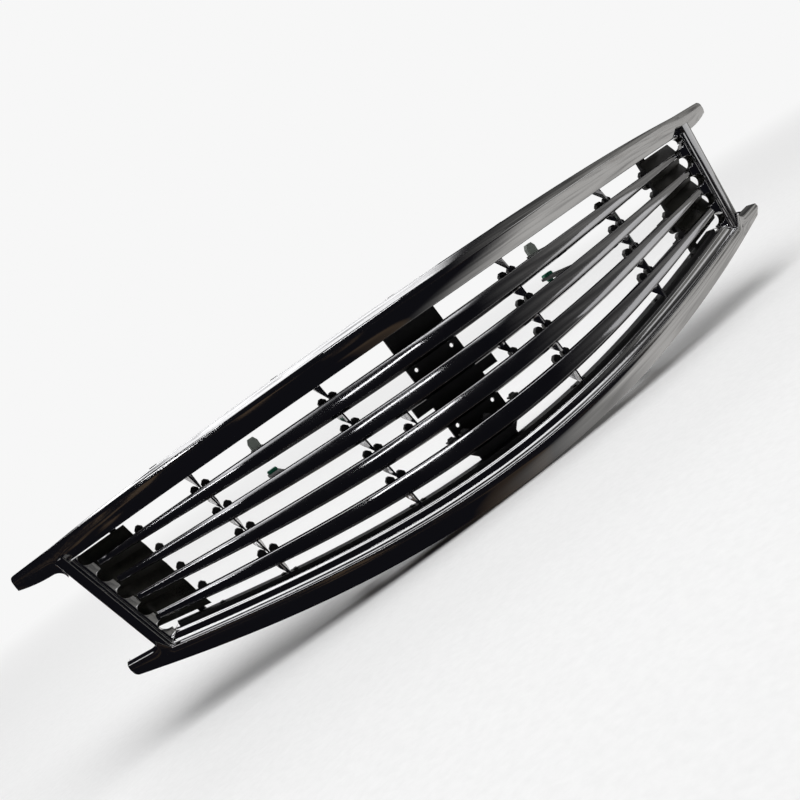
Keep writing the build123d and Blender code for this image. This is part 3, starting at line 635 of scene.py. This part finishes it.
def bezelSection(inner, outer, edge):
    # a flat rim, a groove, and a face that falls away to the edge beside the slat tips
    size = bezelSize
    shoulder = outer - size["shoulder"]
    slope = min(1.0, (shoulder - edge) / (shoulder - inner))
    points = [(outer, size["front"]), (outer - size["rimWidth"], size["front"]),
              (outer - size["grooveWidth"], size["groove"]), (shoulder, size["shoulderDepth"]),
              (edge, size["shoulderDepth"] + size["fall"] * slope), (edge, size["depth"]),
              (outer, size["depth"])]
    return roundedSection(points, {1: 0.5, 2: 0.5, 3: 0.7, 4: 0.8}, {})


def makeBezel(side, word):
    opening = layout["halfOpening"]
    outer, inner = opening - coveSize["trimGap"], opening - bezelSize["width"]
    low = browPoint(fan(opening, browPoint(opening)[1]))[1] + coveSize["footGap"] - coveSize["mitreGap"]
    high = lipPoint(fan(opening, lipPoint(opening)[1]))[1] - coveSize["trimGap"]
    mitreX, mitreZ = mitreAt(coveSize["footGap"])
    rings = []
    for z in spread(low, high, bezelSize["rings"]):
        ring = []
        for x, y in bezelSection(inner, outer, inner + scoopAt(z)):
            px = fan(x, z)
            foot = mitreZ - (px - mitreX) * coveSize["mitreSlope"]
            ring.append((side * px, sideFront(z) + y, max(z, foot)))
        rings.append(ring)
    shells = ([], [])
    loftRings(rings, shells)
    makePiece("endBezel" + word.title(), shells, "end_bezel_" + word,
              materials["bezel_chrome"], bezelSize["sharpAngle"])


makeCove()
makeBezel(-1, "left")
makeBezel(1, "right")
print("trims made")

# camera
cameraView = {"place": (-276.1, -951.6, 127.3), "forward": (0.2289, 0.968, -0.103),
              "up": (0.5685, -0.0471, 0.8213), "lens": 45.0}


def makeCamera():
    data = bpy.data.cameras.new("grilleCamera")
    data.lens = cameraView["lens"]
    data.sensor_width = 36.0
    data.clip_start = 0.01
    camera = bpy.data.objects.new("grilleCamera", data)
    forward = Vector(cameraView["forward"]).normalized()
    right = forward.cross(Vector(cameraView["up"])).normalized()
    axes = Matrix((right, right.cross(forward), -forward)).transposed()
    camera.matrix_world = Matrix.Translation(toFrame(*cameraView["place"])) @ axes.to_4x4()
    bpy.context.collection.objects.link(camera)
    bpy.context.scene.camera = camera


makeCamera()

# stage
# the silver and brown tones are painted reflections that the floor glows with for glossy rays only
stageLook = {"pale": (0.93, 0.93, 0.93, 1), "dark": (0.006, 0.006, 0.008, 1),
             "grey": (0.28, 0.275, 0.26, 1), "paintedReflectionSilver": (0.50, 0.49, 0.47, 1),
             "paintedReflectionBrown": (0.060, 0.042, 0.028, 1), "gleam": (1.6, 1.6, 1.6, 1),
             "ceiling": (("Z", 0.78, 0.88), ("X", 0.44, 0.34), ("X", -0.30, -0.18), ("Y", -0.44, -0.34)),
             "wallSide": (0.42, 0.85), "floorSize": 12.0, "floorDrop": 0.0005, "fadeStart": 0.7,
             "fadeEnd": 2.4, "floorSlant": 1.1, "floorSide": (-0.16, 0.12), "behind": (0.04, 0.10)}


def makeWorld():
    # pale where it is seen; in reflections dark with a grey right side and a bright ceiling patch
    world = bpy.data.worlds.new("studio")
    bpy.context.scene.world = world
    world.use_nodes = True
    tree = world.node_tree
    tree.nodes.clear()
    way = addNode(tree, "TexCoord").outputs["Generated"]
    parts = addNode(tree, "SeparateXYZ", {0: way})
    cloud = noise(tree, stretch(tree, way, (2.0, 9.0, 2.0)), 2.2, 4.0)
    streak = remap(tree, cloud, 0.35, 0.65, 0.35, 1.3)
    lighter = remap(tree, parts.outputs["X"], *stageLook["wallSide"])
    amount = combine(tree, "MULTIPLY", lighter, streak)
    tone = mixColours(tree, amount, stageLook["dark"], stageLook["grey"])
    lamp = streak
    for axis, start, end in stageLook["ceiling"]:
        edge = remap(tree, parts.outputs[axis], start, end, kind="SMOOTHSTEP")
        lamp = combine(tree, "MULTIPLY", lamp, edge)
    tone = mixColours(tree, lamp, tone, stageLook["gleam"])
    hidden = addNode(tree, "Background", {"Color": tone, "Strength": 1.0}).outputs[0]
    seen = addNode(tree, "Background", {"Color": stageLook["pale"], "Strength": 1.0}).outputs[0]
    camera = addNode(tree, "LightPath").outputs["Is Camera Ray"]
    both = addNode(tree, "MixShader", {0: camera, 1: hidden, 2: seen})
    addNode(tree, "OutputWorld", {"Surface": both.outputs[0]})


def paintedFloorReflections(tree, place):
    # painted reflections, glowing for glossy rays only: dark with painted brown patches, turning silver
    # towards the right in front, with short bright painted gleams behind the slats
    parts = addNode(tree, "SeparateXYZ", {0: place})
    slanted = combine(tree, "MULTIPLY_ADD", parts.outputs["Y"], stageLook["floorSlant"], parts.outputs["X"])
    lighter = remap(tree, slanted, *stageLook["floorSide"], kind="SMOOTHSTEP")
    # patches of painted brown reflection
    brownReflectionMask = remap(tree, noise(tree, place, 3.2, 2.0, Distortion=0.8), 0.56, 0.62)
    wisps = noise(tree, stretch(tree, place, (2.5, 16.0, 1.0), 0.5), 1.6, 3.0)
    amount = combine(tree, "MULTIPLY", lighter, remap(tree, wisps, 0.35, 0.65, 0.55, 1.25))
    tone = mixColours(tree, brownReflectionMask, stageLook["dark"], stageLook["paintedReflectionBrown"])
    tone = mixColours(tree, amount, tone, stageLook["paintedReflectionSilver"])
    # painted bright gleams, strongest behind the slats
    streaks = noise(tree, stretch(tree, place, (5.0, 24.0, 1.0)), 1.0, 1.0)
    behind = remap(tree, parts.outputs["Y"], *stageLook["behind"])
    gleam = combine(tree, "MULTIPLY", remap(tree, streaks, 0.60, 0.66), behind)
    tone = mixColours(tree, gleam, tone, stageLook["gleam"])
    return addNode(tree, "Emission", {"Color": tone, "Strength": 1.0}).outputs[0]


def makeFloor():
    # pale paper where it is seen, fading into the pale surroundings
    size, level = stageLook["floorSize"], cadBox[0][2] - stageLook["floorDrop"]
    mesh = bpy.data.meshes.new("studioFloor")
    corners = [(-size, -size, level), (size, -size, level), (size, size, level), (-size, size, level)]
    mesh.from_pydata(corners, [], [(0, 1, 2, 3)])
    floor = bpy.data.objects.new("studioFloor", mesh)
    bpy.context.collection.objects.link(floor)
    material, tree, shader = newMaterial("floorPaper")
    mesh.materials.append(material)
    place = addNode(tree, "NewGeometry").outputs["Position"]
    shade = remap(tree, noise(tree, place, 180.0, 5.0), 0.0, 1.0, 0.78, 0.86)
    tree.links.new(shade, shader.inputs["Base Color"])
    shader.inputs["Roughness"].default_value = 0.8
    shader.inputs["Specular IOR Level"].default_value = 0.1
    reach = addNode(tree, "VectorMath", {0: place}, operation="LENGTH").outputs["Value"]
    fade = remap(tree, reach, stageLook["fadeStart"], stageLook["fadeEnd"], kind="SMOOTHSTEP")
    far = addNode(tree, "Emission", {"Color": stageLook["pale"], "Strength": 1.0}).outputs[0]
    seen = addNode(tree, "MixShader", {0: fade, 1: shader.outputs[0], 2: far}).outputs[0]
    # in reflections the floor glows with painted reflections instead of showing the pale paper
    glossy = addNode(tree, "LightPath").outputs["Is Glossy Ray"]
    both = addNode(tree, "MixShader", {0: glossy, 1: seen, 2: paintedFloorReflections(tree, place)})
    tree.links.new(both.outputs[0], tree.nodes["Material Output"].inputs["Surface"])


lampLooks = {
    "softOverhead": {"place": (0.0, -0.5, 2.3), "aim": (0.0, 0.2, -0.2), "size": (4.0, 3.0),
                     "power": 80.0, "mirrored": False},
    "ceilingSheet": {"place": (0.25, -1.05, 1.55), "aim": (0.05, 0.0, -0.05), "size": (0.5, 0.06),
                     "power": 0.3, "mirrored": True},
    "leftStrip": {"place": (-0.75, -0.6, 1.35), "aim": (-0.2, 0.0, -0.1), "size": (0.5, 0.03),
                  "power": 0.25, "mirrored": True},
    "rightSheet": {"place": (1.4, -0.9, 0.7), "aim": (0.2, 0.0, -0.1), "size": (0.8, 0.5),
                   "power": 0.6, "mirrored": True},
    "rearSheet": {"place": (0.0, 1.6, 1.2), "aim": (0.0, 0.0, -0.1), "size": (1.6, 0.8),
                  "power": 8.0, "mirrored": True}}


def makeLamp(name, look):
    data = bpy.data.lights.new(name, "AREA")
    data.shape = "RECTANGLE"
    data.size, data.size_y = look["size"]
    data.energy = look["power"]
    lamp = bpy.data.objects.new(name, data)
    lamp.location = look["place"]
    lamp.visible_glossy = look["mirrored"]
    aim = Vector(look["aim"]) - Vector(look["place"])
    lamp.rotation_euler = aim.to_track_quat("-Z", "Y").to_euler()
    bpy.context.collection.objects.link(lamp)


makeWorld()
makeFloor()
for name, look in lampLooks.items():
    makeLamp(name, look)
bpy.context.scene.view_settings.view_transform = "Standard"
print("stage made")
